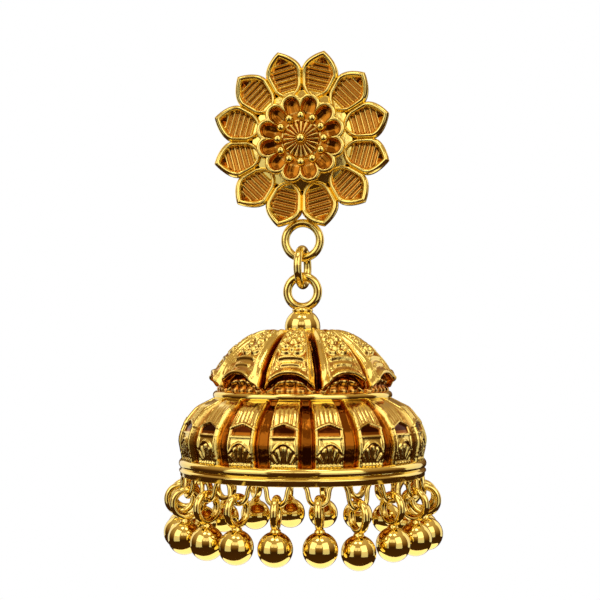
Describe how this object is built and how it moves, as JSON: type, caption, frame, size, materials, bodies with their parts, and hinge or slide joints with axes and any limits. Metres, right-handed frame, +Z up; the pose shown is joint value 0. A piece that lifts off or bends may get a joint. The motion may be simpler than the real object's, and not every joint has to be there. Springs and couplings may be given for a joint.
{
  "type": "jhumka earring",
  "caption": "Jhumka drop earring: a flower stud on an ear post, a link ring, and a hollow two-tier bell edged with eyelets that carry small ball drops.",
  "frame": {"origin": "root of the ear post, on the rear face of its pad, where the earlobe sits", "axes": "+Z up along the hanging earring, +Y backward along the ear post, -Y the flower's face, +X to the right seen from the front"},
  "size_m": [0.0316, 0.0312, 0.0567],
  "materials": {
    "stud_gold": "stamped and polished gold plate",
    "wire_gold": "drawn wire, polished gold plate",
    "bell_gold": "cast and embossed, polished gold plate",
    "ball_gold": "mirror polished gold plate"
  },
  "bodies": {
    "stud": {"ear_post": "wire_gold", "flower_stud": "stud_gold"},
    "link": {"link_ring": "wire_gold"},
    "bell": {"bell": "bell_gold", "drop_01": "ball_gold", "drop_02": "ball_gold", "drop_03": "ball_gold", "drop_04": "ball_gold", "drop_05": "ball_gold", "drop_06": "ball_gold", "drop_07": "ball_gold", "drop_08": "ball_gold", "drop_09": "ball_gold", "drop_10": "ball_gold", "drop_11": "ball_gold", "drop_12": "ball_gold", "drop_13": "ball_gold", "drop_14": "ball_gold", "drop_15": "ball_gold", "drop_16": "ball_gold", "drop_17": "ball_gold", "drop_18": "ball_gold", "drop_19": "ball_gold", "drop_20": "ball_gold"}
  },
  "joints": [
    {"name": "link_swing", "type": "hinge", "parent": "stud", "child": "link", "pos_m": [0, -0.0009, -0.0135], "axis": [1, 0, 0], "range_deg": [-40, 40]},
    {"name": "bell_sway", "type": "hinge", "parent": "link", "child": "bell", "pos_m": [0, -0.0009, -0.01666], "axis": [0, 1, 0], "range_deg": [-40, 40]}
  ]
}
